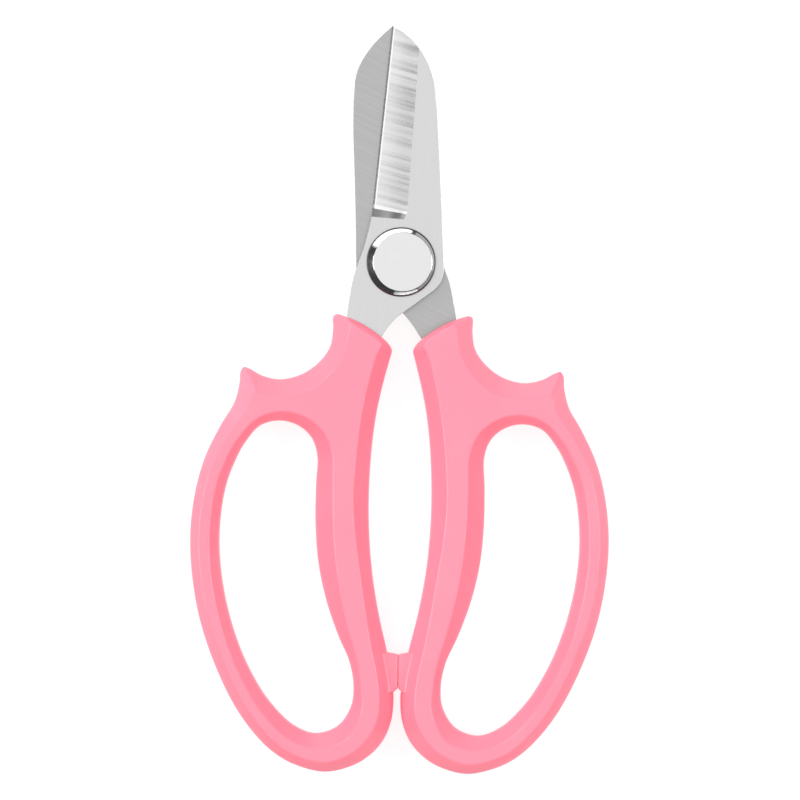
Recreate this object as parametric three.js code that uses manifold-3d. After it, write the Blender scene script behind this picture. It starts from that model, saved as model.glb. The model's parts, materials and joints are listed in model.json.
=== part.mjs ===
// Floral snips: two ground steel blades cross at one pivot, each with its tang in a moulded plastic handle.
// X is across the handles, Y runs towards the blade tips, Z is the pivot axis. Millimetres.
// Every sub-part is drawn about the handles' middle line (x = 0), level with the pivot (y = 0) and with the
// blades' meeting plane at z = 0. All are then lifted so that the object rests on the backs of its handles,
// with the origin under its middle.

import * as THREE from 'three';
import { mergeVertices } from 'three/addons/utils/BufferGeometryUtils.js';
import Module from 'manifold-3d';

const wasm = await Module();
wasm.setup();

// Overall
const PIVOT_Y = 34.85; // pivot axis ahead of the middle of the object's length
const PIVOT_X = -0.7; // the pivot is beside the handles' middle line, in the middle of the blades' width
const HANDLE_THICKNESS = 12;
const MOTION_GAP = 0.05; // axial play between neighbouring flat faces at the pivot
const SOCKET_GAP = 0.3; // between a tang and the plastic around it
const CUT_MARGIN = 1; // how far a cutting body reaches past the body it cuts
const WELD_DISTANCE = 1e-5;
const STEPS_PER_KNOT = 4; // straight pieces between two knots of a curve

// Handles
const HALF_HANDLE = HANDLE_THICKNESS / 2;
const FLANK_SLOPE = 1.19; // height of a bevelled flank over its width
const LEAST_HALF_WALL = 0.9; // the upright wall left at mid-thickness, each way from the middle
const LUG_HALF_HEIGHT = 2.8;
const LUG_CLEARANCE = 0.15; // from a lug's face to the plane where the two lugs meet
const LUG_MEETING_X = 0.4; // the plane where the two lugs meet
const LUG_TOP = -99.3;
const LUG_BOTTOM = -109.3;
const LUG_ROOT_X = -6.0;
const LUG_CHAMFER = 0.6;
const MOUTH_Y = -8.0; // the socket's cutter runs out of the handle's rim up to here
const MOUTH_LEFT = -14.3;
const MOUTH_RIGHT = 0.0;

// Blades
const BLADE_THICKNESS = 2.6;
const BLADE_FACE = 0.25; // inner face of a blade from the meeting plane
const BLADE_TOP = BLADE_FACE + BLADE_THICKNESS;
const EDGE_THICKNESS = 0.5; // steel left at the cutting edge before it is honed
const HOLLOW_DEPTH = 0.25; // how far the hollow grind dips below a straight bevel

// Pivot
const SHANK_RADIUS = 4;
const SHANK_CLEARANCE = 0.06;
const NECK_WIDTH = 8.4;
const NECK_CLEARANCE = 0.1;
const HEAD_RADIUS = 8.8;
const HEAD_FACE_RADIUS = 7.45;
const HEAD_FACE_SHIFT = 0.4; // the blank face sits slightly to one side of the head's rim
const HEAD_HEIGHT = 2.0;
const HEAD_CHAMFER_SLOPE = 0.75; // drop of the conical chamfer over its width
const HEAD_ROOT = 0.5; // how far the neck and the shank run up into the head
const WEAR_WASHER_RADIUS = 7.5;
const WEAR_WASHER_THICKNESS = 0.4;
const REAR_WASHER_RADIUS = 7.9;
const REAR_WASHER_THICKNESS = 0.4;
const NUT_ACROSS_FLATS = 13;
const NUT_THICKNESS = 2.1;
const NUT_BORE_CLEARANCE = 0.1;
const SHANK_END = -5.6;
const ROUND_SIDES = 48;

// Silhouette of the left handle, clockwise from the outer end of its rim. The third value is the width of
// the bevelled flank, or the plateau's own point where two flanks meet in a mitre.
const HANDLE_OUTLINE = [
  // rim, where the tang comes out
  [-17.7, -14.1, [-13.4, -16.3]],
  [-16.95, -13.5, [-13.1, -15.8]],
  [-14.7, -14.0, [-12.6, -15.8]],
  [-10.1, -16.0, 1.3],
  [-6.2, -18.5, 1.3],
  [-3.6, -20.8, [-5.9, -20.3]],
  [-2.75, -22.4, [-5.5, -21.2]],
  // inner side of the shaft
  [-3.3, -25.0, 3.6],
  [-4.6, -30.0, 3.7],
  [-6.3, -38.0, 3.7],
  [-7.5, -48.0, 3.8],
  [-8.0, -60.0, 4.0],
  [-7.7, -70.0, 3.6],
  [-6.7, -80.0, 3.1],
  [-4.9, -90.0, 3.3],
  [-3.0, -98.0, 3.7],
  [-1.6, -104.5, 3.7],
  [-0.9, -111.0, 3.7],
  // round the bottom of the loop
  [-1.5, -117.0, 3.6],
  [-3.6, -122.0, 3.5],
  [-7.4, -126.0, 3.2],
  [-11.8, -128.4, 2.8],
  [-18.1, -129.75, 2.4],
  [-24.6, -128.4, 2.2],
  [-29.7, -126.0, 2.2],
  [-34.55, -122.0, 2.2],
  // outer arm, back up to the horn
  [-40.8, -114.0, 2.2],
  [-46.8, -102.0, 2.3],
  [-50.8, -90.0, 2.3],
  [-52.8, -78.0, 2.3],
  [-53.1, -68.0, 2.3],
  [-51.85, -58.0, 2.3],
  [-49.6, -50.0, 2.4],
  [-45.8, -42.0, 2.8],
  [-42.5, -36.3, 3.3],
  [-41.3, -31.5, [-38.4, -34.3]],
  [-41.1, -28.6, [-38.0, -33.6]],
  [-40.3, -27.3, [-37.6, -33.25]],
  [-38.6, -27.8, [-36.9, -33.15]],
  // finger rest
  [-35.6, -29.4, 4.0],
  [-31.0, -30.3, 4.1],
  [-25.7, -29.0, 4.4],
  [-21.4, -26.0, 4.1],
  [-18.5, -22.0, 3.8],
  [-17.7, -17.5, 4.1],
];

// Finger loop of the left handle, clockwise from its top, with the width of its own flank.
const LOOP_OUTLINE = [
  [-30.8, -40.7, 2.2],
  [-26.0, -42.0, 2.7],
  [-22.7, -45.0, 3.3],
  [-21.2, -49.5, 3.9],
  [-21.4, -57.0, 4.4],
  [-21.4, -66.0, 4.6],
  [-20.6, -76.0, 4.6],
  [-18.4, -86.0, 4.0],
  [-15.2, -95.0, 3.0],
  [-12.3, -101.5, 2.1],
  [-11.1, -107.5, 2.1],
  [-11.6, -113.0, 2.9],
  [-14.9, -118.1, 3.9],
  [-20.6, -120.1, 3.8],
  [-26.3, -118.0, 3.4],
  [-32.5, -112.0, 3.1],
  [-37.6, -104.0, 2.8],
  [-41.8, -94.0, 2.7],
  [-44.8, -82.0, 2.6],
  [-45.8, -70.0, 2.5],
  [-44.45, -58.0, 2.4],
  [-41.6, -50.0, 2.1],
  [-39.35, -46.0, 1.9],
  [-35.8, -42.0, 1.8],
];

// Each blade is drawn with its cutting edge on the left, its spine on the right. The rear one is turned over.
const FRONT_BLADE = {
  edge: [
    [-14.2, -13.0],
    [-13.6, -8.5],
    [-12.6, -3.5],
    [-11.5, -0.2],
    [-10.15, 3.6],
    [-9.0, 8.3],
    [-8.4, 11.0],
    [-8.1, 14.6],
  ],
  tip: [-3.95, 60.1],
  spine: [
    [-1.0, 58.3],
    [1.8, 55.8],
    [4.8, 51.4],
    [6.55, 47.0],
    [7.5, 41.5],
    [8.5, 28.6],
    [9.3, 15.0],
    [9.95, 3.0],
    [10.2, -1.5],
    [9.95, -3.4],
    [9.2, -5.4],
    [8.0, -6.9],
  ],
  neck: [
    [0.25, -12.7],
    [-1.6, -14.0],
    [-3.5, -16.2],
    [-5.1, -18.7],
  ],
};
const REAR_BLADE = {
  edge: [
    [-13.35, -13.0],
    [-12.65, -9.3],
    [-11.7, -5.2],
    [-10.5, -1.9],
    [-9.0, 2.5],
    [-7.4, 7.0],
    [-6.4, 11.0],
    [-5.7, 14.6],
  ],
  tip: [3.9, 60.0],
  spine: [
    [6.35, 57.8],
    [8.9, 55.0],
    [11.3, 51.4],
    [12.85, 47.7],
    [13.4, 42.0],
    [13.45, 33.6],
    [13.05, 24.7],
    [12.45, 10.5],
    [12.1, -1.5],
    [11.8, -3.8],
    [10.8, -5.9],
    [9.4, -7.2],
  ],
  neck: [
    [0.3, -12.6],
    [-0.95, -14.0],
    [-2.7, -16.2],
    [-4.3, -18.7],
  ],
};

// The tang, the same on both blades, clockwise from where the neck runs into it.
const TANG_INNER = [
  [-6.6, -22.0],
  [-8.4, -28.0],
  [-10.0, -36.0],
  [-11.1, -48.0],
  [-11.4, -60.0],
  [-11.1, -71.0],
];
const TANG_END = [
  [-11.5, -74.4],
  [-14.0, -76.3],
  [-16.5, -74.6],
];
const TANG_OUTER = [
  [-17.3, -71.0],
  [-17.7, -60.0],
  [-17.2, -46.0],
  [-15.8, -33.0],
  [-14.6, -22.0],
];
const PEG_PLACES = [
  [-12.9, -35.5],
  [-14.5, -58.0],
];
const TANG_HOLE_RADIUS = 2.2;

// Hollow grind: one line across the blade at its far end and one at the foot of its step, each from the
// grind's boundary to the cutting edge, and the line where the step comes back up to the full thickness.
const FRONT_GRIND = {
  far: [[3.4, 62.0], [-3.8, 62.0]],
  foot: [[0.4, 12.2], [-8.2, 13.6]],
  rim: [[-0.2, 10.8], [-8.5, 11.4]],
};
const REAR_GRIND = {
  far: [[10.6, 62.0], [4.3, 62.0]],
  foot: [[3.2, 11.6], [-6.0, 13.7]],
  rim: [[2.5, 10.2], [-6.4, 11.5]],
};
const GRIND_START_DEPTH = 0.1; // small step along the boundary
const GRIND_STEPS = 4;
const GRIND_OVERRUN = 0.4; // share of its width by which the cut runs on past the cutting edge
const GRIND_RIM_RISE = 0.02; // the step's rim ends this far above the blade's top, for a clean cut

const PINK = 0xff9bb0;
const STEEL = 0xc9cbcd;

// ---- Curves ----

// A Catmull-Rom curve through the knots. Chord-root spacing lets close knots make tight round corners.
function curve(knots, closed, steps = STEPS_PER_KNOT) {
  const points = knots.map(([x, y]) => new THREE.Vector3(x, y, 0));
  const path = new THREE.CatmullRomCurve3(points, closed, 'centripetal');
  const spans = closed ? knots.length : knots.length - 1;
  const count = spans * steps + (closed ? 0 : 1);
  return Array.from({ length: count }, (_, i) => {
    const point = path.getPoint(i / (spans * steps));
    return [point.x, point.y];
  });
}

// Plateau knots: each silhouette knot moved inwards by its flank's width, or its mitre point. `side` is +1
// where the material lies to the right of the walking direction and -1 where it lies to the left.
function plateauKnots(outline, side) {
  return outline.map(([x, y, flank], i) => {
    if (Array.isArray(flank)) return flank;
    const before = outline[(i + outline.length - 1) % outline.length];
    const after = outline[(i + 1) % outline.length];
    const along = new THREE.Vector2(after[0] - before[0], after[1] - before[1]).normalize();
    return [x + side * along.y * flank, y - side * along.x * flank];
  });
}

// ---- Solids ----

function geometryOf(vertices, triangles) {
  const geometry = new THREE.BufferGeometry();
  geometry.setAttribute('position', new THREE.Float32BufferAttribute(vertices.flat(), 3));
  geometry.setIndex(triangles.flat());
  return geometry;
}

// Skin between rings of equal count. It faces out for rings that run counter-clockwise and upwards.
function skin(rings, first, flip) {
  const triangles = [];
  const count = rings[0].length;
  for (let level = 0; level < rings.length - 1; level += 1) {
    for (let i = 0; i < count; i += 1) {
      const a = first + level * count + i;
      const b = first + level * count + (i + 1) % count;
      const c = a + count;
      const d = b + count;
      triangles.push(flip ? [a, d, b] : [a, b, d], flip ? [a, c, d] : [a, d, c]);
    }
  }
  return triangles;
}

// A body between two flat ends: outer rings and, if it has one, the rings of a hole right through it.
function ringedBody(outer, hole = []) {
  const vertices = [...outer.flat(), ...hole.flat()];
  const holeStart = outer.flat().length;
  const triangles = [...skin(outer, 0, false), ...(hole.length ? skin(hole, holeStart, true) : [])];
  const ends = [[outer[0], hole[0], 0, true], [outer.at(-1), hole.at(-1), outer.length - 1, false]];
  for (const [rim, inner, level, flip] of ends) {
    const flat = (ring) => ring.map(([x, y]) => new THREE.Vector2(x, y));
    const onHole = (i) => holeStart + level * inner.length + i - rim.length;
    const index = (i) => (i < rim.length ? level * rim.length + i : onHole(i));
    for (const [a, b, c] of THREE.ShapeUtils.triangulateShape(flat(rim), inner ? [flat(inner)] : [])) {
      const face = [index(a), index(b), index(c)];
      const [p, q, r] = face.map((i) => vertices[i]);
      const turn = (q[0] - p[0]) * (r[1] - p[1]) - (q[1] - p[1]) * (r[0] - p[0]);
      triangles.push((turn > 0) === flip ? face.reverse() : face);
    }
  }
  return geometryOf(vertices, triangles);
}

function prism(points, low, high) {
  const area = THREE.ShapeUtils.area(points.map(([x, y]) => new THREE.Vector2(x, y)));
  const ring = area > 0 ? points : [...points].reverse();
  return ringedBody([ring.map(([x, y]) => [x, y, low]), ring.map(([x, y]) => [x, y, high])]);
}

function circle(radius, sides, centre) {
  return Array.from({ length: sides }, (_, i) => {
    const angle = (i / sides) * 2 * Math.PI;
    return [centre[0] + radius * Math.cos(angle), centre[1] + radius * Math.sin(angle)];
  });
}

function disc(radius, low, high, centre) {
  return prism(circle(radius, ROUND_SIDES, centre), low, high);
}

function toManifold(geometry) {
  const bare = new THREE.BufferGeometry();
  bare.setAttribute('position', geometry.getAttribute('position'));
  bare.setIndex(geometry.getIndex());
  const merged = mergeVertices(bare, WELD_DISTANCE);
  return new wasm.Manifold(new wasm.Mesh({
    numProp: 3,
    vertProperties: new Float32Array(merged.getAttribute('position').array),
    triVerts: new Uint32Array(merged.getIndex().array),
  }));
}

function fromManifold(solid) {
  const mesh = solid.getMesh();
  const geometry = new THREE.BufferGeometry();
  geometry.setAttribute('position', new THREE.Float32BufferAttribute(mesh.vertProperties, 3));
  geometry.setIndex(Array.from(mesh.triVerts));
  geometry.computeVertexNormals();
  return geometry;
}

// ---- Sub-parts ----

// Four rings for one edge of a handle: back plateau, lower wall line, upper wall line, front plateau.
function handleRings(outline, side) {
  const silhouette = curve(outline, true).reverse();
  const plateau = curve(plateauKnots(outline, side), true).reverse();
  const wall = silhouette.map(([x, y], i) => {
    const flank = Math.hypot(x - plateau[i][0], y - plateau[i][1]);
    return Math.max(HALF_HANDLE - flank * FLANK_SLOPE, LEAST_HALF_WALL);
  });
  return [
    plateau.map(([x, y]) => [x, y, -HALF_HANDLE]),
    silhouette.map(([x, y], i) => [x, y, -wall[i]]),
    silhouette.map(([x, y], i) => [x, y, wall[i]]),
    plateau.map(([x, y]) => [x, y, HALF_HANDLE]),
  ];
}

// The neck and tang of a blade, grown outwards all round.
function tangOutline(neck, grow = 0) {
  const inner = curve([...neck, ...TANG_INNER], false, 2);
  const outer = curve(TANG_OUTER, false, 2);
  return [...inner, ...TANG_END, ...outer].map(([x, y], i, all) => {
    const [bx, by] = all[Math.max(i - 1, 0)];
    const [ax, ay] = all[Math.min(i + 1, all.length - 1)];
    const length = Math.hypot(ax - bx, ay - by);
    return [x - (grow * (ay - by)) / length, y + (grow * (ax - bx)) / length];
  });
}

// Stop lug on the inner side of a handle, with a small chamfer at each end of its face.
function lug(face) {
  const outline = [
    [LUG_ROOT_X, LUG_TOP],
    [face - LUG_CHAMFER, LUG_TOP],
    [face, LUG_TOP - LUG_CHAMFER],
    [face, LUG_BOTTOM + LUG_CHAMFER],
    [face - LUG_CHAMFER, LUG_BOTTOM],
    [LUG_ROOT_X, LUG_BOTTOM],
  ];
  return prism(outline, -LUG_HALF_HEIGHT, LUG_HALF_HEIGHT);
}

function handle(neck, lugFace) {
  const body = toManifold(ringedBody(handleRings(HANDLE_OUTLINE, 1), handleRings(LOOP_OUTLINE, -1)));
  const mouth = [[MOUTH_LEFT, MOUTH_Y], [MOUTH_RIGHT, MOUTH_Y]];
  const cavity = [...tangOutline(neck, SOCKET_GAP), ...mouth];
  const socket = toManifold(prism(cavity, BLADE_FACE - SOCKET_GAP, BLADE_TOP + SOCKET_GAP));
  const hollowed = body.add(toManifold(lug(lugFace))).subtract(socket);
  const pegRadius = TANG_HOLE_RADIUS - SOCKET_GAP;
  const peg = (place) => toManifold(disc(pegRadius, -CUT_MARGIN, BLADE_TOP + CUT_MARGIN, place));
  return fromManifold(PEG_PLACES.reduce((solid, place) => solid.add(peg(place)), hollowed));
}

// The block that a hollow grind takes away, as rings of the ground floor with a lid above the blade.
function grindCutter({ far, foot, rim }) {
  const lid = BLADE_TOP + CUT_MARGIN;
  const ring = ([start, end], depthAt) => {
    const floor = [];
    for (let i = 0; i <= GRIND_STEPS; i += 1) {
      const share = (i / GRIND_STEPS) * (1 + GRIND_OVERRUN);
      const x = start[0] + (end[0] - start[0]) * share;
      const y = start[1] + (end[1] - start[1]) * share;
      floor.push([x, y, BLADE_TOP - depthAt(Math.min(share, 1))]);
    }
    const [last] = floor.slice(-1);
    return [...floor, [last[0], last[1], lid], [start[0], start[1], lid]];
  };
  const bevel = BLADE_THICKNESS - EDGE_THICKNESS - GRIND_START_DEPTH;
  const ground = (share) => GRIND_START_DEPTH + bevel * share + 4 * HOLLOW_DEPTH * share * (1 - share);
  const rings = [ring(rim, () => -GRIND_RIM_RISE), ring(foot, ground), ring(far, ground)];
  return cappedSkin(rings);
}

// Skin with fanned ends, for rings that don't lie flat.
function cappedSkin(rings) {
  const count = rings[0].length;
  const triangles = skin(rings, 0, false);
  const last = (rings.length - 1) * count;
  for (let i = 1; i < count - 1; i += 1) {
    triangles.push([0, i + 1, i], [last, last + i, last + i + 1]);
  }
  return geometryOf(rings.flat(), triangles);
}

function blade({ edge, tip, spine, neck }, grind, boreCutter) {
  const outline = [...curve(edge, false, 2), tip, ...curve(spine, false, 3), ...tangOutline(neck)];
  let solid = toManifold(prism(outline, BLADE_FACE, BLADE_TOP));
  solid = solid.subtract(toManifold(grindCutter(grind)));
  solid = solid.subtract(toManifold(boreCutter));
  for (const place of PEG_PLACES) {
    const hole = disc(TANG_HOLE_RADIUS, BLADE_FACE - CUT_MARGIN, BLADE_TOP + CUT_MARGIN, place);
    solid = solid.subtract(toManifold(hole));
  }
  return fromManifold(solid);
}

function squareNeck(width, low, high, x) {
  const block = new THREE.BoxGeometry(width, width, high - low);
  block.translate(x, 0, (low + high) / 2);
  return block;
}

// The head's conical chamfer is turned about its blank face, slightly to one side of the head's rim.
function boltHead(seat) {
  const top = seat + HEAD_HEIGHT;
  const coneFoot = HEAD_FACE_RADIUS + HEAD_HEIGHT / HEAD_CHAMFER_SLOPE;
  const faceCentre = [PIVOT_X + HEAD_FACE_SHIFT, 0];
  const lift = (points, z) => points.map(([x, y]) => [x, y, z]);
  const cone = ringedBody([
    lift(circle(coneFoot, ROUND_SIDES, faceCentre), seat),
    lift(circle(HEAD_FACE_RADIUS, ROUND_SIDES, faceCentre), top),
  ]);
  const blank = disc(HEAD_RADIUS, seat, top + CUT_MARGIN, [PIVOT_X, 0]);
  return toManifold(blank).intersect(toManifold(cone));
}

function pivotBolt() {
  const seat = BLADE_TOP + MOTION_GAP;
  const neck = toManifold(squareNeck(NECK_WIDTH, BLADE_FACE, seat + HEAD_ROOT, PIVOT_X));
  const shank = toManifold(disc(SHANK_RADIUS, SHANK_END, seat + HEAD_ROOT, [PIVOT_X, 0]));
  return fromManifold(boltHead(seat).add(neck).add(shank));
}

function boredOut(solid, low, high) {
  const bore = disc(SHANK_RADIUS + NUT_BORE_CLEARANCE, low - CUT_MARGIN, high + CUT_MARGIN, [PIVOT_X, 0]);
  return fromManifold(toManifold(solid).subtract(toManifold(bore)));
}

function ringWasher(radius, low, high) {
  return boredOut(disc(radius, low, high, [PIVOT_X, 0]), low, high);
}

function pivotNut(top) {
  const corner = NUT_ACROSS_FLATS / 2 / Math.cos(Math.PI / 6);
  const bottom = top - NUT_THICKNESS;
  return boredOut(prism(circle(corner, 6, [PIVOT_X, 0]), bottom, top), bottom, top);
}

// ---- Assembly ----

function pinkPlastic() {
  return new THREE.MeshStandardMaterial({ color: PINK, roughness: 0.42, metalness: 0 });
}

function brushedSteel(roughness) {
  return new THREE.MeshStandardMaterial({ color: STEEL, roughness, metalness: 1 });
}

const snips = new THREE.Group();
snips.position.set(0, PIVOT_Y, HALF_HANDLE);

// A sub-part in its place; a turned one is flipped over about the long axis, so that its front faces down.
function place(name, geometry, material, turned = false) {
  const mesh = new THREE.Mesh(geometry, material);
  mesh.name = name;
  mesh.rotation.y = turned ? Math.PI : 0;
  snips.add(mesh);
}

const boreTop = BLADE_TOP + CUT_MARGIN;
const squareBore = squareNeck(NECK_WIDTH + 2 * NECK_CLEARANCE, -CUT_MARGIN, boreTop, PIVOT_X);
const turnedBore = disc(SHANK_RADIUS + SHANK_CLEARANCE, -CUT_MARGIN, boreTop, [-PIVOT_X, 0]);
const leftLugFace = LUG_MEETING_X - LUG_CLEARANCE;
const turnedLugFace = -LUG_MEETING_X - LUG_CLEARANCE;
const halfWear = WEAR_WASHER_THICKNESS / 2;
const washerTop = -BLADE_TOP - MOTION_GAP;
const washerBottom = washerTop - REAR_WASHER_THICKNESS;
const nutTop = washerBottom - MOTION_GAP;

place('left_handle', handle(FRONT_BLADE.neck, leftLugFace), pinkPlastic());
place('right_handle', handle(REAR_BLADE.neck, turnedLugFace), pinkPlastic(), true);
place('front_blade', blade(FRONT_BLADE, FRONT_GRIND, squareBore), brushedSteel(0.32));
place('rear_blade', blade(REAR_BLADE, REAR_GRIND, turnedBore), brushedSteel(0.36), true);
place('pivot_bolt', pivotBolt(), brushedSteel(0.18));
place('wear_washer', ringWasher(WEAR_WASHER_RADIUS, -halfWear, halfWear), brushedSteel(0.3));
place('rear_washer', ringWasher(REAR_WASHER_RADIUS, washerBottom, washerTop), brushedSteel(0.3));
place('pivot_nut', pivotNut(nutTop), brushedSteel(0.25));

export default snips;
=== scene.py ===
"""Floral snips: the visible shapes and finishes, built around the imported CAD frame."""

import json
import math

import bpy
import numpy as np
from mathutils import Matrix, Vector
from mathutils.geometry import tessellate_polygon

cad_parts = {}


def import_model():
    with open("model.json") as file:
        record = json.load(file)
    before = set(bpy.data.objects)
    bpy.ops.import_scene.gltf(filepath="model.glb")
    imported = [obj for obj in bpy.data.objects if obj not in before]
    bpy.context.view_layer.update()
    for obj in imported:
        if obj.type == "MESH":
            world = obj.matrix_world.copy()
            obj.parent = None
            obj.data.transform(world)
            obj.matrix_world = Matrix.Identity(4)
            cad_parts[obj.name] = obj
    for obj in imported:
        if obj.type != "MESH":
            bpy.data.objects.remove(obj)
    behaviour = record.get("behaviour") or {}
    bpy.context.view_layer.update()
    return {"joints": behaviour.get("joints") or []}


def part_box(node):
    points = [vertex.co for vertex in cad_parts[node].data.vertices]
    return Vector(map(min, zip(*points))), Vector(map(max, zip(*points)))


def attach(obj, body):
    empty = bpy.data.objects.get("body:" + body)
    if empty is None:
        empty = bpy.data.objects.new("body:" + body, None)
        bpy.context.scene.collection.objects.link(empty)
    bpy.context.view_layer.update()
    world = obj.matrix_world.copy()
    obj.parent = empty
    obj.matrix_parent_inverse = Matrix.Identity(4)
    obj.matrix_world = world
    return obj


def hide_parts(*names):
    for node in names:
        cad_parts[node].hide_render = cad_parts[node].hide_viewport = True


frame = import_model()

# ---- Sizes, in millimetres ----
# x = 0 is the handles' middle line, y = 0 is level with the pivot and z = 0 lies between the blades.

MM = 0.001
PIVOT_X, PIVOT_Y, HALF_WAY = (value / MM for value in frame["joints"][0]["pos_m"])
ORIGIN = np.array([0.0, PIVOT_Y, HALF_WAY])
HALF_HANDLE = (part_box("left_handle")[1].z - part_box("left_handle")[0].z) / MM / 2
BLADE_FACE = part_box("front_blade")[0].z / MM - HALF_WAY
BLADE_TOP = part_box("front_blade")[1].z / MM - HALF_WAY
HEAD_RADIUS = (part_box("pivot_bolt")[1].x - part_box("pivot_bolt")[0].x) / MM / 2
HEAD_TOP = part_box("pivot_bolt")[1].z / MM - HALF_WAY
SHANK_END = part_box("pivot_bolt")[0].z / MM - HALF_WAY
NUT_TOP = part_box("pivot_nut")[1].z / MM - HALF_WAY
NUT_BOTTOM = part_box("pivot_nut")[0].z / MM - HALF_WAY
NUT_CORNER = (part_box("pivot_nut")[1].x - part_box("pivot_nut")[0].x) / MM / 2
SHANK_RADIUS = 4.0
BORE_RADIUS = 4.1

FLANK_SLOPE = 1.19  # height of a bevelled flank over its width
LEAST_HALF_WALL = 0.9
PLATEAU_FILLET = 0.5  # from the corner of plateau and flank to where its rounding ends
PLATEAU_FILLET_POINTS = 6
PLATEAU_FILLET_SHARE = 0.4  # most of a flank that its upper rounding may take
WALL_FILLET = 0.7
WALL_FILLET_SHARE = 0.6  # most of a wall that its rounding may take
FLANK_POINTS = (0.3, 0.55, 0.68, 0.8, 0.92)  # shares of a flank, closest where the lug grows out of it
QUARTER_TURN = (0.0, 0.33, 0.67, 1.0)  # shares of the way round a corner
SUPPORT = 0.1  # flat strip kept inside a rounded plateau edge
SEAM_RIDGE = 0.05  # height of the mould's parting line
SEAM_HALF_WIDTH = 0.14
SECTION_SPACING = 0.1  # between two cross-sections, counted in knots of the outline

LUG_HALF_HEIGHT = 2.8
LUG_MEETING_X = 0.2  # the plane where the two lugs meet
LUG_GAP = 0.03  # from a lug's face to that plane
LUG_SIDE_X = -8.0  # the side of a handle with the lug lies beyond this
LUG_TOP = -99.3
LUG_BOTTOM = -109.3
LUG_TOP_CHAMFER = 0.6
LUG_BOTTOM_CHAMFER = 1.0
LUG_END_ROUNDING = 0.35
LUG_END_REACH = 0.16  # of the close cross-sections, either way from a lug's end, in knots
LUG_END_SECTIONS = 40
LUG_FACE_ROUNDING = 0.3
LUG_GROOVE_DEPTH = 1.6  # how far down the lugs' faces part from each other
LUG_ROOT_BLEND = 0.45

# Silhouette of the left handle, clockwise from the outer end of its rim. The third value is the width
# of the bevelled flank, or the plateau's own point where two flanks meet in a mitre.
HANDLE_OUTLINE = [
    # rim, where the tang comes out
    (-17.7, -14.1, (-13.4, -16.3)),
    (-16.95, -13.5, (-13.1, -15.8)),
    (-14.7, -14.0, (-12.6, -15.8)),
    (-10.1, -16.0, 1.3),
    (-6.2, -18.5, 1.3),
    (-3.6, -20.8, (-5.9, -20.3)),
    (-2.75, -22.4, (-5.5, -21.2)),
    # inner side of the shaft
    (-3.3, -25.0, 3.6),
    (-4.6, -30.0, 3.7),
    (-6.3, -38.0, 3.7),
    (-7.5, -48.0, 3.8),
    (-8.0, -60.0, 4.0),
    (-7.7, -70.0, 3.6),
    (-6.7, -80.0, 3.1),
    (-4.9, -90.0, 3.3),
    (-3.0, -98.0, 3.7),
    (-1.6, -104.5, 3.7),
    (-0.9, -111.0, 3.7),
    # round the bottom of the loop
    (-1.5, -117.0, 3.6),
    (-3.6, -122.0, 3.5),
    (-7.4, -126.0, 3.2),
    (-11.8, -128.4, 2.8),
    (-18.1, -129.75, 2.4),
    (-24.6, -128.4, 2.2),
    (-29.7, -126.0, 2.2),
    (-34.55, -122.0, 2.2),
    # outer arm, back up to the horn
    (-40.8, -114.0, 2.2),
    (-46.8, -102.0, 2.3),
    (-50.8, -90.0, 2.3),
    (-52.8, -78.0, 2.3),
    (-53.1, -68.0, 2.3),
    (-51.85, -58.0, 2.3),
    (-49.6, -50.0, 2.4),
    (-45.8, -42.0, 2.8),
    (-42.5, -36.3, 3.3),
    (-41.3, -31.5, (-38.4, -34.3)),
    (-41.1, -28.6, (-38.0, -33.6)),
    (-40.3, -27.3, (-37.6, -33.25)),
    (-38.6, -27.8, (-36.9, -33.15)),
    # finger rest
    (-35.6, -29.4, 4.0),
    (-31.0, -30.3, 4.1),
    (-25.7, -29.0, 4.4),
    (-21.4, -26.0, 4.1),
    (-18.5, -22.0, 3.8),
    (-17.7, -17.5, 4.1),
]

# Finger loop of the left handle, clockwise from its top, with the width of its own flank.
LOOP_OUTLINE = [
    (-30.8, -40.7, 2.2),
    (-26.0, -42.0, 2.7),
    (-22.7, -45.0, 3.3),
    (-21.2, -49.5, 3.9),
    (-21.4, -57.0, 4.4),
    (-21.4, -66.0, 4.6),
    (-20.6, -76.0, 4.6),
    (-18.4, -86.0, 4.0),
    (-15.2, -95.0, 3.0),
    (-12.3, -101.5, 2.1),
    (-11.1, -107.5, 2.1),
    (-11.6, -113.0, 2.9),
    (-14.9, -118.1, 3.9),
    (-20.6, -120.1, 3.8),
    (-26.3, -118.0, 3.4),
    (-32.5, -112.0, 3.1),
    (-37.6, -104.0, 2.8),
    (-41.8, -94.0, 2.7),
    (-44.8, -82.0, 2.6),
    (-45.8, -70.0, 2.5),
    (-44.45, -58.0, 2.4),
    (-41.6, -50.0, 2.1),
    (-39.35, -46.0, 1.9),
    (-35.8, -42.0, 1.8),
]

# Each blade is drawn with its cutting edge on the left and its spine on the right. The hollow grind lies
# between the edge and the boundary line, and a step ends it near the pivot. The rear blade is turned over.
FRONT_BLADE = {
    "edge": [
        (-14.2, -13.0),
        (-13.6, -8.5),
        (-12.6, -3.5),
        (-11.5, -0.2),
        (-10.15, 3.6),
        (-9.0, 8.3),
        (-8.4, 11.0),
        (-8.1, 14.6),
    ],
    "tip": (-3.95, 60.1),
    "spine": [
        (-1.0, 58.3),
        (1.8, 55.8),
        (4.8, 51.4),
        (6.55, 47.0),
        (7.5, 41.5),
        (8.5, 28.6),
        (9.3, 15.0),
        (9.95, 3.0),
        (10.2, -1.5),
        (9.95, -3.4),
        (9.2, -5.4),
        (8.0, -6.9),
    ],
    "neck": [
        (0.25, -12.7),
        (-1.6, -14.0),
        (-3.5, -16.2),
        (-5.1, -18.7),
    ],
    "boundary": [(3.4, 62.0), (0.67, 12.9)],
    "step_foot": [(0.4, 12.2), (-8.2, 13.6)],
    "step_rim": [(-0.2, 10.8), (-8.5, 11.4)],
}
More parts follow.
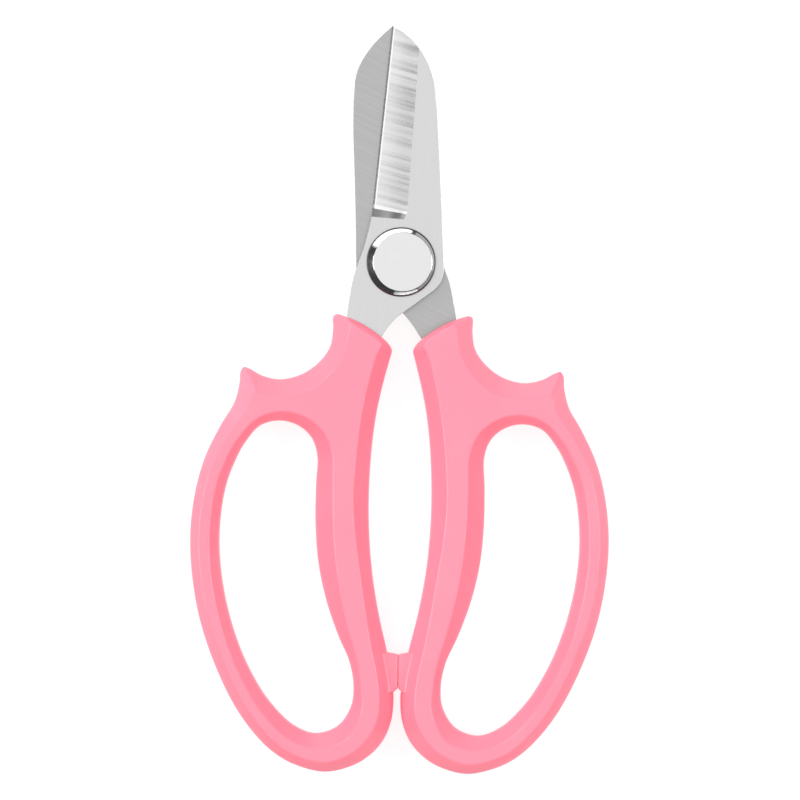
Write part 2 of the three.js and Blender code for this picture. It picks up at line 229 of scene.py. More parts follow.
REAR_BLADE = {
    "edge": [
        (-13.35, -13.0),
        (-12.65, -9.3),
        (-11.7, -5.2),
        (-10.5, -1.9),
        (-9.0, 2.5),
        (-7.4, 7.0),
        (-6.4, 11.0),
        (-5.7, 14.6),
    ],
    "tip": (3.9, 60.0),
    "spine": [
        (6.35, 57.8),
        (8.9, 55.0),
        (11.3, 51.4),
        (12.85, 47.7),
        (13.4, 42.0),
        (13.45, 33.6),
        (13.05, 24.7),
        (12.45, 10.5),
        (12.1, -1.5),
        (11.8, -3.8),
        (10.8, -5.9),
        (9.4, -7.2),
    ],
    "neck": [
        (0.3, -12.6),
        (-0.95, -14.0),
        (-2.7, -16.2),
        (-4.3, -18.7),
    ],
    "boundary": [(10.6, 62.0), (3.2, 12.4)],
    "step_foot": [(3.2, 11.6), (-6.0, 13.7)],
    "step_rim": [(2.5, 10.2), (-6.4, 11.5)],
}

# The tang, the same on both blades, clockwise from where the neck runs into it.
TANG_INNER = [
    (-6.6, -22.0),
    (-8.4, -28.0),
    (-10.0, -36.0),
    (-11.1, -48.0),
    (-11.4, -60.0),
    (-11.1, -71.0),
]
TANG_END = [
    (-11.5, -74.4),
    (-14.0, -76.3),
    (-16.5, -74.6),
]
TANG_OUTER = [
    (-17.3, -71.0),
    (-17.7, -60.0),
    (-17.2, -46.0),
    (-15.8, -33.0),
    (-14.6, -22.0),
]

PLATE_EDGE = 0.05  # small rounding along a blade's arrises
PLATE_EDGE_EASE = 0.3 * PLATE_EDGE  # from either face to the middle of that rounding
MITRE_LIMIT = 2.5  # how far an inset corner may move, in insets
ARRIS_ANGLE = 9  # degrees; sharper turns of the ground steel are shaded as edges
EDGE_LEFT = 0.12  # steel left at the honed edge
HONE_WIDTH = 0.44  # honed bevel along the cutting edge
LIP_WIDTH = 0.36  # strip between the honed bevel and the hollow grind, made brighter as a painted highlight
HONE_TOP = 0.55  # thickness where the honed bevel begins
HOLLOW_DEPTH = 0.12  # sag of the hollow grind below a straight bevel
GRIND_START_DEPTH = 0.1  # small step along the grind's boundary
GRIND_POINTS = 16  # across the hollow grind
HOLLOW, STEP, HONED, LIP = range(1, 5)  # order of a blade's materials, after that of its flats

# The block that is ground away ends outside the plate by these lengths.
CUT_PAST_EDGE = 2.0
CUT_PAST_TIP = 3.0
CUT_BELOW_MIDDLE = 2.0
CUT_ABOVE_FACE = 1.0
CUT_ABOVE_RIM = 0.01

HEAD_SEAT_GAP = 0.05
HEAD_FOOT_CHAMFER = 0.1
HEAD_FACE_RADIUS = 7.45
HEAD_FACE_SHIFT = 0.4
HEAD_CHAMFER_SLOPE = 0.75  # drop of the conical chamfer over its width
HEAD_ROUNDING = 0.05  # where the chamfer turns into the face
HEAD_ROUNDING_STEPS = ((0.4, 0.38), (-0.2, 0.1))  # each ring's outset and drop, in roundings
SHOULDER_ROUNDING = 0.36  # where the wall turns into the chamfer
SHOULDER_STEPS = ((0.0, 1.0), (0.12, 0.4), (0.45, 0.1))  # each ring's inset and drop, in roundings
CHAMFER_CROWN = 0.04  # scale of the chamfer's slight bulge, strongest two thirds of the way to the face
CONE, FACE, WALL = range(3)  # order of the head's materials
TURNED_SIDES = 128
THREAD_PITCH = 0.62
THREAD_DEPTH = 0.3
THREAD_CREST = (0.4, 0.6)  # from and to, in pitches above the root
THREAD_CLEARANCE = 0.1  # the thread stops short of the rear blade by this
END_CHAMFER = 0.35
NUT_CHAMFER_SLOPE = 0.58  # rise of the cone that takes off the nut's corners over its width
NUT_FACE_SHARE = 0.965  # radius of the nut's flat face over half its width across flats
COUNTERSINK = 0.4
WASHER_ROUNDING = 0.08


# ---- Curves ----


def catmull(knots, at, closed=True):
    """Points of a Catmull-Rom curve with chord-root spacing, at the given positions counted in knots."""
    knots = np.array(knots, float)
    count = len(knots)

    def knot(i):
        if closed:
            return knots[i % count]
        if i < 0:
            return 2 * knots[0] - knots[1]
        return knots[i] if i < count else 2 * knots[-1] - knots[-2]

    points = []
    for t in at:
        i = min(int(t), count - 1 if closed else count - 2)
        u = t - i
        p = [knot(i + j) for j in (-1, 0, 1, 2)]
        d = [math.sqrt(np.linalg.norm(p[j + 1] - p[j])) for j in range(3)]
        leave = ((p[1] - p[0]) / d[0] - (p[2] - p[0]) / (d[0] + d[1])) * d[1] + p[2] - p[1]
        reach = ((p[3] - p[2]) / d[2] - (p[3] - p[1]) / (d[1] + d[2])) * d[1] + p[2] - p[1]
        cubic = 2 * p[1] - 2 * p[2] + leave + reach
        square = 3 * p[2] - 3 * p[1] - 2 * leave - reach
        points.append(p[1] + u * (leave + u * (square + u * cubic)))
    return np.array(points)


def open_curve(knots, steps):
    """An open curve through its knots, with that many steps from each knot to the next."""
    return catmull(knots, np.linspace(0, len(knots) - 1, (len(knots) - 1) * steps + 1), closed=False)


def plateau_knots(outline, side):
    """Each knot of an outline moved into the plastic by its flank's width, or its mitre point.

    `side` is 1 for the silhouette and -1 for the loop.
    """
    moved = []
    for i, (x, y, flank) in enumerate(outline):
        if isinstance(flank, tuple):
            moved.append(flank)
            continue
        before, after = outline[i - 1], outline[(i + 1) % len(outline)]
        along = np.array([after[0] - before[0], after[1] - before[1]])
        along /= np.linalg.norm(along)
        moved.append((x + side * along[1] * flank, y - side * along[0] * flank))
    return moved


def rounded(start, corner, end, shares):
    """Points of a rounded corner, at the given shares of the way from start to end."""
    start, corner, end = (np.array(p, float) for p in (start, corner, end))
    return [(1 - u) ** 2 * start + 2 * u * (1 - u) * corner + u * u * end for u in shares]


# ---- Meshes ----


def to_metres(points, turned=False):
    """Drawn points, in millimetres, to the frame. A turned piece is flipped over about its long axis."""
    points = np.array(points, float)
    if turned:
        points = points * np.array([-1, 1, -1])
    return (points + ORIGIN) * MM


def mesh_object(name, vertices, faces, materials, indices=None, sharp=None):
    """A new object. `indices` gives each face's material; turns beyond `sharp` degrees are edges."""
    mesh = bpy.data.meshes.new(name)
    mesh.from_pydata([tuple(v) for v in vertices], [], faces)
    for material in materials:
        mesh.materials.append(material)
    if indices is not None:
        mesh.polygons.foreach_set("material_index", indices)
    mesh.validate()
    finish_shading(mesh, sharp)
    piece = bpy.data.objects.new(name, mesh)
    bpy.context.scene.collection.objects.link(piece)
    return piece


def finish_shading(mesh, sharp):
    mesh.polygons.foreach_set("use_smooth", [True] * len(mesh.polygons))
    if sharp is not None:
        mesh.set_sharp_from_angle(angle=math.radians(sharp))
    mesh.update()


def ring_walls(rings, first):
    """Quads between successive rings, whose vertices are numbered from `first`."""
    quads = []
    for level in range(len(rings) - 1):
        count = len(rings[0])
        for i in range(count):
            a, b = first + level * count + i, first + level * count + (i + 1) % count
            quads.append([a, b, b + count, a + count])
    return quads


def ringed_body(outer, hole=()):
    """Vertices and faces of a body with two flat ends, from counter-clockwise rings in upward order.

    The rings of a hole through the body run the same way, as many as the outer ones.
    """
    vertices = [p for ring in outer for p in ring]
    hole_start = len(vertices)
    vertices += [p for ring in hole for p in ring]
    faces = ring_walls(outer, 0) + [quad[::-1] for quad in ring_walls(hole, hole_start)]
    for level, up in ((0, False), (len(outer) - 1, True)):
        loops = [outer[level]]
        index = [level * len(outer[0]) + i for i in range(len(outer[0]))]
        if len(hole):
            loops.append(hole[level])
            index += [hole_start + level * len(hole[0]) + i for i in range(len(hole[0]))]
        for triangle in tessellate_polygon([[(p[0], p[1], 0) for p in loop] for loop in loops]):
            face = [index[i] for i in triangle]
            p, q, r = (vertices[i] for i in face)
            turn = (q[0] - p[0]) * (r[1] - p[1]) - (q[1] - p[1]) * (r[0] - p[0])
            faces.append(face if (turn > 0) == up else face[::-1])
    return vertices, faces


# ---- Handles ----


def front_profile(silhouette, plateau):
    """One cross-section of a handle's edge, from the plateau down to the parting line.

    Also returns the place where the flank is as high as a lug, and the flank's upward direction.
    """
    silhouette, plateau = np.array(silhouette), np.array(plateau)
    reach = np.linalg.norm(plateau - silhouette)
    inwards = (plateau - silhouette) / reach
    half_wall = max(HALF_HANDLE - reach * FLANK_SLOPE, LEAST_HALF_WALL)
    top, foot = np.array([reach, HALF_HANDLE]), np.array([0.0, half_wall])
    down = (foot - top) / np.linalg.norm(foot - top)
    top_round = min(PLATEAU_FILLET, PLATEAU_FILLET_SHARE * np.linalg.norm(foot - top))
    foot_round = min(WALL_FILLET, WALL_FILLET_SHARE * half_wall)
    flank_start, flank_end = top + down * top_round, foot - down * foot_round
    flat = [(reach + top_round + SUPPORT, HALF_HANDLE)]
    flat += rounded(top + (top_round, 0), top, flank_start, np.linspace(0, 1, PLATEAU_FILLET_POINTS))
    flank = [flank_start + (flank_end - flank_start) * share for share in FLANK_POINTS]
    wall = rounded(flank_end, foot, foot - (0, foot_round), QUARTER_TURN)
    wall += [(0.0, SEAM_HALF_WIDTH), (-SEAM_RIDGE, 0.0)]
    plain = [(*(silhouette + inwards * d), z) for d, z in flat + flank + wall]
    inset = (LUG_HALF_HEIGHT - half_wall) / (HALF_HANDLE - half_wall) * reach
    return np.array(plain), silhouette + inwards * inset, np.array([*(-down[0] * inwards), -down[1]])


def lug_profile(plain, root, up_flank, meeting_x):
    """The same cross-section with the stop lug standing out of the flank, towards the other handle."""
    top_gap, bottom_gap = max(LUG_TOP - root[1], 0.0), max(root[1] - LUG_BOTTOM, 0.0)
    setback = max(LUG_TOP_CHAMFER - top_gap, LUG_BOTTOM_CHAMFER - bottom_gap, 0.0)
    face = meeting_x - LUG_GAP - setback
    corner = np.array([root[0], root[1], LUG_HALF_HEIGHT])
    rim = np.array([face, root[1], LUG_HALF_HEIGHT])
    start = corner + up_flank * LUG_ROOT_BLEND
    section = list(plain[:PLATEAU_FILLET_POINTS + 1])
    section.append((section[-1] + start) / 2)
    section += rounded(start, corner, corner + (LUG_ROOT_BLEND, 0, 0), (0.0, 0.5, 1.0))
    section.append((corner + rim) / 2)
    round_in, round_down = (LUG_FACE_ROUNDING, 0, 0), (0, 0, LUG_GROOVE_DEPTH)
    section += rounded(rim - round_in, rim, rim - round_down, QUARTER_TURN)
    section += [(face, root[1], SEAM_HALF_WIDTH), (face, root[1], 0.0)]
    return np.array(section)


def lug_share(y):
    """1 along the lug, 0 away from it, with a rounded change at its two ends."""
    inside = min(LUG_TOP - y, y - LUG_BOTTOM) / LUG_END_ROUNDING + 0.5
    inside = min(max(inside, 0.0), 1.0)
    return inside * inside * (3 - 2 * inside)


def handle_positions(outline, with_lug):
    """Where along the outline its cross-sections stand: evenly, and closely at the lug's two ends."""
    at = set(np.round(np.arange(0, len(outline), SECTION_SPACING), 4))
    if with_lug:
        lug_side = [(-y, i) for i, (x, y, _) in enumerate(outline) if x > LUG_SIDE_X]
        for end in (LUG_TOP, LUG_BOTTOM):
            middle = np.interp(-end, *zip(*lug_side))
            close = np.linspace(middle - LUG_END_REACH, middle + LUG_END_REACH, LUG_END_SECTIONS)
            at |= set(np.round(close, 4))
    return sorted(at)


def handle_rings(outline, side, lug_x=None):
    """The rings of one edge of a handle, from back to front. `lug_x` is where its lug meets the other's."""
    with_lug = lug_x is not None
    at = handle_positions(outline, with_lug)
    silhouette = catmull([p[:2] for p in outline], at)
    plateau = catmull(plateau_knots(outline, side), at)
    sections = []
    for edge, top in zip(silhouette, plateau):
        section, root, up_flank = front_profile(edge, top)
        if with_lug and edge[0] > LUG_SIDE_X:
            share = lug_share(edge[1])
            if share > 0:
                section = section + (lug_profile(section, root, up_flank, lug_x) - section) * share
        sections.append(section)
    sections = np.array(sections)[::-1]
    front = [sections[:, k] for k in range(sections.shape[1])]
    back = [ring * np.array([1, 1, -1]) for ring in front]
    return back + front[-2::-1]


def handle(name, turned, body, material):
    """One moulded handle. The turned one is the other's outline flipped over."""
    lug_x = -LUG_MEETING_X if turned else LUG_MEETING_X
    rim = handle_rings(HANDLE_OUTLINE, 1, lug_x)
    loop = handle_rings(LOOP_OUTLINE, -1)
    vertices, faces = ringed_body(rim, loop)
    piece = mesh_object(name + "_moulding", to_metres(vertices, turned), faces, [material])
    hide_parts(name)
    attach(piece, body)


# ---- Blades ----


def inset_ring(points, distance):
    """A counter-clockwise outline moved inwards, with sharp corners kept near their place."""
    before, after = np.roll(points, 1, axis=0), np.roll(points, -1, axis=0)
    first, second = points - before, after - points
    first /= np.linalg.norm(first, axis=1)[:, None]
    second /= np.linalg.norm(second, axis=1)[:, None]
    normals = np.stack([-(first + second)[:, 1], (first + second)[:, 0]], axis=1)
    length = np.linalg.norm(normals, axis=1)[:, None]
    mitre = np.minimum(2 / np.maximum(length, 0.1), MITRE_LIMIT)
    return points + normals / length * distance * mitre


def at_height(points, z):
    return [(x, y, z) for x, y in points]


def plate(outline):
    """A flat plate with small roundings along its arrises."""
    x, y = outline.T
    area = np.sum(x * np.roll(y, -1) - y * np.roll(x, -1))
    ring = outline if area > 0 else outline[::-1]
    inner, middle = inset_ring(ring, PLATE_EDGE), inset_ring(ring, PLATE_EDGE_EASE)
    rings = [
        at_height(inner, BLADE_FACE),
        at_height(middle, BLADE_FACE + PLATE_EDGE_EASE),
        at_height(ring, BLADE_FACE + PLATE_EDGE),
        at_height(ring, BLADE_TOP - PLATE_EDGE),
        at_height(middle, BLADE_TOP - PLATE_EDGE_EASE),
        at_height(inner, BLADE_TOP),
    ]
    return ringed_body(rings)


def grind_depth(distance, width):
    """How deep the grinding goes, at a distance from its boundary towards the cutting edge."""
    hone = width - HONE_WIDTH
    share = min(distance / hone, 1.0)
    deepest = BLADE_TOP - BLADE_FACE - HONE_TOP - GRIND_START_DEPTH
    depth = GRIND_START_DEPTH + deepest * share + 4 * HOLLOW_DEPTH * share * (1 - share)
    depth += max(0.0, distance - hone) / HONE_WIDTH * (HONE_TOP - EDGE_LEFT)
    return min(depth, BLADE_TOP + CUT_BELOW_MIDDLE)


def cutter_ring(start, end, stepped_up=False):
    """A closed cross-section of the ground-away block, from the boundary across to beyond the edge."""
    width = np.linalg.norm(end - start)
    across = (end - start) / width
    lip, hone = width - HONE_WIDTH - LIP_WIDTH, width - HONE_WIDTH
    floor_line = []
    for distance in [*np.linspace(0, lip, GRIND_POINTS), hone, width, width + CUT_PAST_EDGE]:
        x, y = start + across * distance
        ground = BLADE_TOP - grind_depth(distance, width)
        floor_line.append((x, y, BLADE_TOP + CUT_ABOVE_RIM if stepped_up else ground))
    lid = BLADE_TOP + CUT_ABOVE_FACE
    return floor_line + [(*floor_line[-1][:2], lid), (*start, lid)]


def cutter_kind(level, i):
    """The material of face i between one of the cutter's rings and the next."""
    # Level 0 is the step's wall, whose material carries painted shade.
    if level == 0:
        return STEP
    # Level 1, the run-out band above the step, and the strip beside the honed bevel take the lip's painted
    # highlight.
    if level == 1 or i == GRIND_POINTS - 1:
        return LIP
    # The honed bevel's material is darkened as painted shade.
    return HONED if i in (GRIND_POINTS, GRIND_POINTS + 1) else HOLLOW


def grind_cutter(shape):
    """Vertices, faces and the faces' materials of the block that grinding takes away."""
    ricasso, tip = np.array(shape["edge"][-1]), np.array(shape["tip"])
    boundary_far, boundary_near = (np.array(p) for p in shape["boundary"])
    beyond = (tip - ricasso) / np.linalg.norm(tip - ricasso) * CUT_PAST_TIP
    foot = (np.array(p) for p in shape["step_foot"])
    rim = (np.array(p) for p in shape["step_rim"])
    rings = [
        cutter_ring(*rim, stepped_up=True),
        cutter_ring(*foot),
        cutter_ring(boundary_near, ricasso),
        cutter_ring(boundary_far, tip + beyond),
    ]
    count = len(rings[0])
    vertices = [p for ring in rings for p in ring]
    faces = ring_walls(rings, 0)
    kinds = [cutter_kind(level, i) for level in range(len(rings) - 1) for i in range(count)]
    faces += [list(range(count))[::-1], list(range(len(vertices) - count, len(vertices)))]
    kinds += [STEP, HOLLOW]
    return vertices, faces, kinds


def cut(piece, vertices, faces, kinds, materials):
    """Cuts a closed shape out of a piece. The cut faces take their materials from the shape's faces."""
    cutter = mesh_object("cutter", vertices, faces, materials, kinds)
    modifier = piece.modifiers.new("cut", "BOOLEAN")
    modifier.operation = "DIFFERENCE"
    modifier.solver = "EXACT"
    modifier.object = cutter
    bpy.context.view_layer.update()
    graph = bpy.context.evaluated_depsgraph_get()
    result = bpy.data.meshes.new_from_object(piece.evaluated_get(graph))
    piece.modifiers.clear()
    piece.data = result
    bpy.data.objects.remove(cutter)


def blade(name, shape, turned, body, materials):
    """One ground blade with its tang. The materials are those of its flats, grind, step, hone and lip."""
    outline = np.vstack([
        open_curve(shape["edge"], steps=6),
        [shape["tip"]],
        open_curve(shape["spine"], steps=8),
        open_curve(shape["neck"] + TANG_INNER, steps=6),
        TANG_END,
        open_curve(TANG_OUTER, steps=4),
    ])
    vertices, faces = plate(outline)
    piece = mesh_object(name + "_ground", to_metres(vertices, turned), faces, materials)
    vertices, faces, kinds = grind_cutter(shape)
    cut(piece, to_metres(vertices, turned), faces, kinds, materials)
    finish_shading(piece.data, ARRIS_ANGLE)
    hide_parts(name)
    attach(piece, body)


# ---- Pivot ----


def turned_angles():
    return np.linspace(0, 2 * math.pi, TURNED_SIDES, endpoint=False)


def circle(radius, z, x=PIVOT_X):
    return [(x + radius * math.cos(a), radius * math.sin(a), z) for a in turned_angles()]


def shoulder(inset, drop):
    """Where the conical chamfer runs out into the head's wall, moved inwards and down along them."""
    ring = []
    for a in turned_angles():
        x, y = HEAD_RADIUS * math.cos(a), HEAD_RADIUS * math.sin(a)
        width = math.hypot(x - HEAD_FACE_SHIFT, y) - HEAD_FACE_RADIUS
        z = HEAD_TOP - (width - inset) * HEAD_CHAMFER_SLOPE - drop
        scale = 1 - inset / HEAD_RADIUS
        ring.append((PIVOT_X + x * scale, y * scale, z))
    return ring


def crowned_chamfer(outer, inner):
    """Rings across the head's slightly bulging chamfer, between its two edges."""
    outer, inner = np.array(outer), np.array(inner)
    rings = [outer]
    for share in (0.2, 0.4, 0.6, 0.8):
        bulge = np.array([0, 0, CHAMFER_CROWN * share**2 * (1 - share)])
        rings.append(outer + (inner - outer) * share + bulge)
    return rings + [inner]


def head_rings():
    """The head's rings from its seat upwards, in three groups: wall, cone and face."""
    face_x = PIVOT_X + HEAD_FACE_SHIFT
    seat = BLADE_TOP + HEAD_SEAT_GAP
    wall = [
        circle(HEAD_RADIUS - HEAD_FOOT_CHAMFER, seat),
        circle(HEAD_RADIUS, seat + HEAD_FOOT_CHAMFER),
    ]
    for inset, drop in SHOULDER_STEPS:
        wall.append(shoulder(SHOULDER_ROUNDING * inset, SHOULDER_ROUNDING * drop))
    cone_top_z = HEAD_TOP - HEAD_ROUNDING * HEAD_CHAMFER_SLOPE
    cone_top = circle(HEAD_FACE_RADIUS + HEAD_ROUNDING, cone_top_z, face_x)
    cone = crowned_chamfer(shoulder(SHOULDER_ROUNDING, 0.0), cone_top)
    for out, drop in HEAD_ROUNDING_STEPS:
        radius = HEAD_FACE_RADIUS + HEAD_ROUNDING * out
        cone.append(circle(radius, HEAD_TOP - HEAD_ROUNDING * drop, face_x))
    face = [circle(HEAD_FACE_RADIUS - HEAD_ROUNDING * inset, HEAD_TOP, face_x) for inset in (1, 2)]
    return wall, cone, face


def threaded_end():
    """The shank's end behind the rear blade, as thread crests and roots under a chamfered tip."""
    root = SHANK_RADIUS - THREAD_DEPTH
    z = SHANK_END + END_CHAMFER
    rings = [circle(root - END_CHAMFER, SHANK_END), circle(root, z)]
    while z + THREAD_PITCH < -BLADE_TOP - THREAD_CLEARANCE:
        for share in THREAD_CREST:
            rings.append(circle(SHANK_RADIUS, z + THREAD_PITCH * share))
        rings.append(circle(root, z + THREAD_PITCH))
        z += THREAD_PITCH
    return ringed_body(rings)


def pivot_head(materials):
    """The blank head and, behind the rear blade, the threaded end."""
    wall, cone, face = head_rings()
    head, faces = ringed_body(wall + cone + face)
    strips = [WALL] * len(wall) + [CONE] * len(cone) + [FACE] * (len(face) - 1)
    kinds = [kind for kind in strips for _ in range(TURNED_SIDES)]
    underside = TURNED_SIDES - 2  # triangles of a flat end
    kinds += [CONE] * underside + [FACE] * (len(faces) - len(kinds) - underside)
    end, end_faces = threaded_end()
    faces = faces + [[i + len(head) for i in face] for face in end_faces]
    kinds += [CONE] * len(end_faces)
    piece = mesh_object("pivot_head", to_metres(head + end), faces, materials, kinds)
    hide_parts("pivot_bolt")
    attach(piece, "front_half")


def hexagon_reach(a):
    """Distance from a nut's axis to its wall, with corners along X."""
    beside_flat = a % (math.pi / 3) - math.pi / 6
    return NUT_CORNER * math.cos(math.pi / 6) / math.cos(beside_flat)


def nut_face_radius():
    return NUT_CORNER * math.cos(math.pi / 6) * NUT_FACE_SHARE


def hexagon_ring(end_z, inwards):
    """Where the cone that takes off the corners meets the nut's walls. `inwards` is +1 or -1 along Z."""
    ring = []
    for a in turned_angles():
        reach = hexagon_reach(a)
        z = end_z + inwards * (reach - nut_face_radius()) * NUT_CHAMFER_SLOPE
        ring.append((PIVOT_X + reach * math.cos(a), reach * math.sin(a), z))
    return ring


def pivot_nut(material):
    """A hexagon nut with its corners taken off and its bore countersunk at both ends."""
    outer = [
        circle(nut_face_radius(), NUT_BOTTOM),
        hexagon_ring(NUT_BOTTOM, 1),
        hexagon_ring(NUT_TOP, -1),
        circle(nut_face_radius(), NUT_TOP),
    ]
    bore = [
        circle(BORE_RADIUS + COUNTERSINK, NUT_BOTTOM),
        circle(BORE_RADIUS, NUT_BOTTOM + COUNTERSINK),
        circle(BORE_RADIUS, NUT_TOP - COUNTERSINK),
        circle(BORE_RADIUS + COUNTERSINK, NUT_TOP),
    ]
    vertices, faces = ringed_body(outer, bore)
    piece = mesh_object("hex_nut", to_metres(vertices), faces, [material], sharp=20)
    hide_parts("pivot_nut")
    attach(piece, "front_half")


def washer(name, material):
    """A punched ring with its edges rounded over."""
    low, high = (corner.z / MM - HALF_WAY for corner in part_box(name))
    radius = (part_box(name)[1].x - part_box(name)[0].x) / MM / 2
    heights = (low, low + WASHER_ROUNDING, high - WASHER_ROUNDING, high)
    insets = (WASHER_ROUNDING, 0.0, 0.0, WASHER_ROUNDING)
    outer = [circle(radius - inset, z) for inset, z in zip(insets, heights)]
    bore = [circle(BORE_RADIUS + inset, z) for inset, z in zip(insets, heights)]
    vertices, faces = ringed_body(outer, bore)
    piece = mesh_object(name + "_ring", to_metres(vertices), faces, [material], sharp=50)
    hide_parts(name)
    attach(piece, "front_half")


# ---- Materials ----


class Nodes:
    """Short forms for building one material's node tree."""

    def __init__(self, name):
        self.material = bpy.data.materials.new(name)
        self.material.use_nodes = True
        self.tree = self.material.node_tree
        self.shader = self.tree.nodes["Principled BSDF"]

    def set(self, **values):
        for key, value in values.items():
            self.shader.inputs[key.replace("_", " ")].default_value = value

    def add(self, kind, **settings):
        node = self.tree.nodes.new(kind)
        for key, value in settings.items():
            setattr(node, key, value)
        return node

    def link(self, source, target):
        self.tree.links.new(source, target)

    def stretched(self, scale, angle=0.0):
        """Object coordinates turned by an angle in the blade's plane and scaled, in features per metre."""
        place = self.add("ShaderNodeTexCoord")
        turn = self.add("ShaderNodeMapping")
        turn.inputs["Rotation"].default_value[2] = math.radians(angle)
        size = self.add("ShaderNodeMapping")
        size.inputs["Scale"].default_value = scale
        self.link(place.outputs["Object"], turn.inputs["Vector"])
        self.link(turn.outputs["Vector"], size.inputs["Vector"])
        return size.outputs["Vector"]

    def noise(self, vector, detail=3.0, roughness=0.5):
        noise = self.add("ShaderNodeTexNoise")
        noise.inputs["Scale"].default_value = 1.0
        noise.inputs["Detail"].default_value = detail
        noise.inputs["Roughness"].default_value = roughness
        self.link(vector, noise.inputs["Vector"])
        return noise.outputs["Fac"]

    def ramp(self, factor, stops):
        ramp = self.add("ShaderNodeValToRGB")
        while len(ramp.color_ramp.elements) < len(stops):
            ramp.color_ramp.elements.new(0.5)
        for element, (position, colour) in zip(ramp.color_ramp.elements, stops):
            element.position = position
            rgb = colour if isinstance(colour, tuple) else (colour,) * 3
            element.color = (*rgb, 1.0)
        self.link(factor, ramp.inputs["Fac"])
        return ramp.outputs["Color"]

    def bump(self, height, strength, distance):
        bump = self.add("ShaderNodeBump")
        bump.inputs["Strength"].default_value = strength
        bump.inputs["Distance"].default_value = distance
        self.link(height, bump.inputs["Height"])
        self.link(bump.outputs["Normal"], self.shader.inputs["Normal"])


def pink_plastic():
    nodes = Nodes("pink_plastic")
    nodes.set(Metallic=0.0, IOR=1.46, Subsurface_Weight=0.12, Subsurface_Scale=0.0012)
    nodes.shader.inputs["Subsurface Radius"].default_value = (1.0, 0.35, 0.3)
    cloud = nodes.noise(nodes.stretched((60, 60, 60)), detail=4)
    tint = nodes.ramp(cloud, [(0.3, (1.0, 0.213, 0.29)), (0.7, (1.0, 0.229, 0.308))])
    nodes.link(tint, nodes.shader.inputs["Base Color"])
    grain = nodes.noise(nodes.stretched((2600, 2600, 2600)), detail=2)
    nodes.link(nodes.ramp(grain, [(0.3, 0.28), (0.7, 0.38)]), nodes.shader.inputs["Roughness"])
    nodes.bump(grain, 0.12, 0.00003)
    return nodes.material


def brushed_steel(name, scale, angle, tones, roughness, detail=5.0, bump=0.15):
    """Steel with hairlines. `scale` counts them per metre along X, Y and Z, once turned by the angle."""
    nodes = Nodes(name)
    nodes.set(Metallic=1.0)
    hairs = nodes.noise(nodes.stretched(scale, angle), detail, roughness=0.65)
    nodes.link(nodes.ramp(hairs, tones), nodes.shader.inputs["Base Color"])
    gloss = nodes.ramp(hairs, [(0.3, roughness[0]), (0.7, roughness[1])])
    nodes.link(gloss, nodes.shader.inputs["Roughness"])
    nodes.bump(hairs, bump, 0.00002)
    return nodes.material


def satin_face():
    nodes = Nodes("satin_head_face")
    nodes.set(Metallic=1.0)
    mottle = nodes.noise(nodes.stretched((500, 500, 500)), detail=5)
    nodes.link(nodes.ramp(mottle, [(0.3, 0.51), (0.7, 0.55)]), nodes.shader.inputs["Base Color"])
    nodes.link(nodes.ramp(mottle, [(0.3, 0.42), (0.7, 0.5)]), nodes.shader.inputs["Roughness"])
    return nodes.material


def polished(name):
    nodes = Nodes(name)
    nodes.set(Metallic=1.0)
    smear = nodes.noise(nodes.stretched((900, 900, 900)), detail=4)
    nodes.link(nodes.ramp(smear, [(0.3, 0.46), (0.7, 0.54)]), nodes.shader.inputs["Base Color"])
    nodes.link(nodes.ramp(smear, [(0.3, 0.1), (0.7, 0.15)]), nodes.shader.inputs["Roughness"])
    return nodes.material


# ---- Stage ----


def floor():
    reach = 3  # metres
    vertices = [(-reach, -reach, 0), (reach, -reach, 0), (reach, reach, 0), (-reach, reach, 0)]
    nodes = Nodes("glowing_white_table")
    nodes.set(Base_Color=(0.25, 0.25, 0.25, 1), Roughness=0.9)
    nodes.set(Emission_Color=(1, 1, 1, 1), Emission_Strength=0.82)
    piece = mesh_object("floor", vertices, [[0, 1, 2, 3]], [nodes.material])


def world(strength):
    scene_world = bpy.data.worlds.new("studio")
    scene_world.use_nodes = True
    scene_world.node_tree.nodes["Background"].inputs["Color"].default_value = (1, 1, 1, 1)
    scene_world.node_tree.nodes["Background"].inputs["Strength"].default_value = strength
    bpy.context.scene.world = scene_world


def softbox(name, azimuth, elevation, size, power, distance=1.5):
    """A rectangular light that faces the tool, in degrees, metres and watts. Azimuth runs from +X to +Y."""
    data = bpy.data.lights.new(name, "AREA")
    data.shape = "RECTANGLE"
    data.size, data.size_y = size
    data.energy = power
    light = bpy.data.objects.new(name, data)
    turn, rise = math.radians(azimuth), math.radians(elevation)
    out = Vector((math.cos(rise) * math.cos(turn), math.cos(rise) * math.sin(turn), math.sin(rise)))
    light.location = out * distance
    light.rotation_euler = (-out).to_track_quat("-Z", "Y").to_euler()
    light.visible_camera = False
    bpy.context.scene.collection.objects.link(light)


LENS = 300
SENSOR = 36
VIEW_WIDTH = 203.48 * MM  # what the image spans at the parting plane
VIEW_CENTRE = (-0.43 * MM, -0.19 * MM)
ROLL = 0.918  # degrees


def camera():
    data = bpy.data.cameras.new("camera")
    data.lens, data.sensor_width = LENS, SENSOR
    data.clip_end = 10
    item = bpy.data.objects.new("camera", data)
    item.location = (*VIEW_CENTRE, HALF_WAY * MM + VIEW_WIDTH * LENS / SENSOR)
    item.rotation_euler = (0, 0, math.radians(ROLL))
    bpy.context.scene.collection.objects.link(item)
    bpy.context.scene.camera = item


# ---- Assembly ----

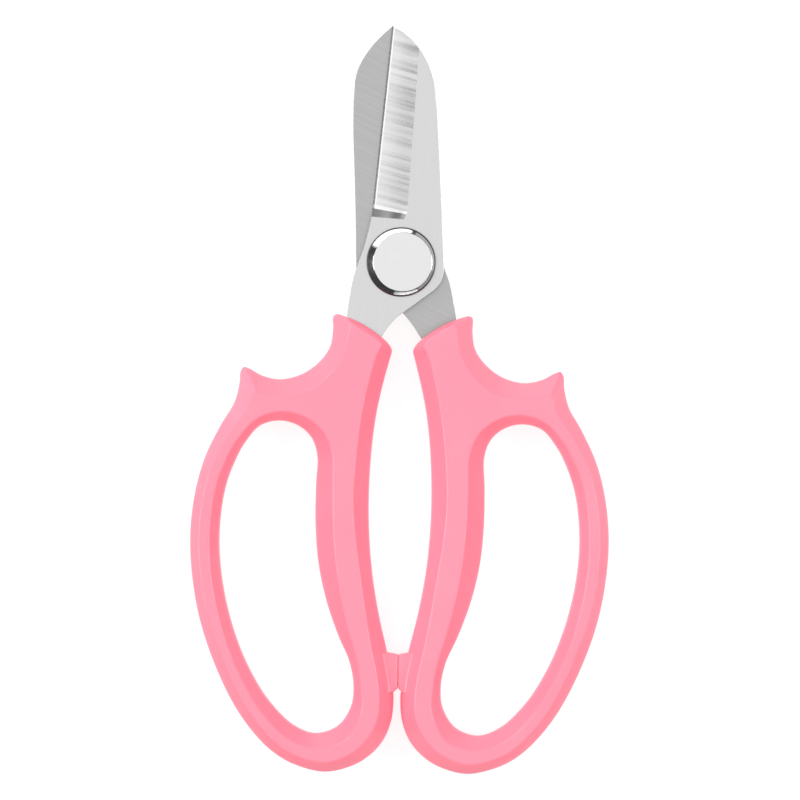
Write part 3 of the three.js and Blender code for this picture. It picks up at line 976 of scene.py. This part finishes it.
camera()
floor()
world(0.08)
softbox("overhead", 0, 89.9, (1.6, 1.6), 14.1)
softbox("left_box", 180, 33, (0.6, 0.5), 12.0)
softbox("upper_left_box", 135, 40, (0.6, 0.6), 7.6)
softbox("right_box", 0, 38, (0.6, 0.6), 11.0)
softbox("low_back_box", 112, 16, (2.2, 0.35), 7.0)
softbox("grey_right_card", 27, 16, (2.4, 0.45), 2.6)
softbox("grey_front_card", -35, 16, (1.2, 0.45), 0.8)
softbox("low_front_strip", 278, 16, (1.2, 0.1), 1.1)

pink = pink_plastic()
handle("left_handle", False, "front_half", pink)
handle("right_handle", True, "rear_half", pink)

ground_tones = [(0.36, 0.45), (0.5, 0.495), (0.62, 0.53)]
hollow = brushed_steel("hollow_grind", (15, 900, 15), 15.5, ground_tones, (0.26, 0.32), 2.0, bump=0.008)
# The step's wall is dark steel: painted shade and painted dark reflection where the hollow grind ends.
step = brushed_steel("grind_step_painted_shade", (300, 300, 300), 0, [(0.3, 0.22), (0.7, 0.28)], (0.3, 0.4))
# The honed bevel is a darker steel tone: painted shade and painted dark reflection along the cutting edge.
honed = brushed_steel("honed_bevel_painted_shade", (40, 2500, 2500), 0, [(0.3, 0.36), (0.7, 0.42)], (0.2, 0.3))
# The lip strip and the run-out band above the step are a brighter steel: a painted highlight.
lip = brushed_steel("lip_painted_highlight", (200, 200, 200), 0, [(0.3, 0.6), (0.7, 0.66)], (0.25, 0.35))
front_flat = brushed_steel("front_flat", (2500, 40, 2500), 0, [(0.3, 0.39), (0.7, 0.42)], (0.28, 0.36))
rear_flat = brushed_steel("rear_flat", (40, 1300, 40), 26, [(0.3, 0.27), (0.7, 0.315)], (0.3, 0.4))
blade("front_blade", FRONT_BLADE, False, "front_half", [front_flat, hollow, step, honed, lip])
blade("rear_blade", REAR_BLADE, True, "rear_half", [rear_flat, hollow, step, honed, lip])

chrome = polished("polished_cone")
# The head's wall and shoulder rounding are near-black steel: painted shade and painted dark reflection
# round the head's rim.
wall_painted_dark = brushed_steel("head_wall_painted_dark", (800, 800, 800), 0, [(0.3, 0.09), (0.7, 0.13)], (0.3, 0.4))
pivot_head([chrome, satin_face(), wall_painted_dark])
plain_steel = brushed_steel("punched_steel", (300, 300, 300), 0, [(0.3, 0.5), (0.7, 0.55)], (0.3, 0.4))
plated_steel = brushed_steel("plated_nut", (700, 700, 700), 0, [(0.3, 0.5), (0.7, 0.58)], (0.2, 0.3))
washer("wear_washer", plain_steel)
washer("rear_washer", plain_steel)
pivot_nut(plated_steel)

bpy.context.scene.view_settings.view_transform = "Standard"
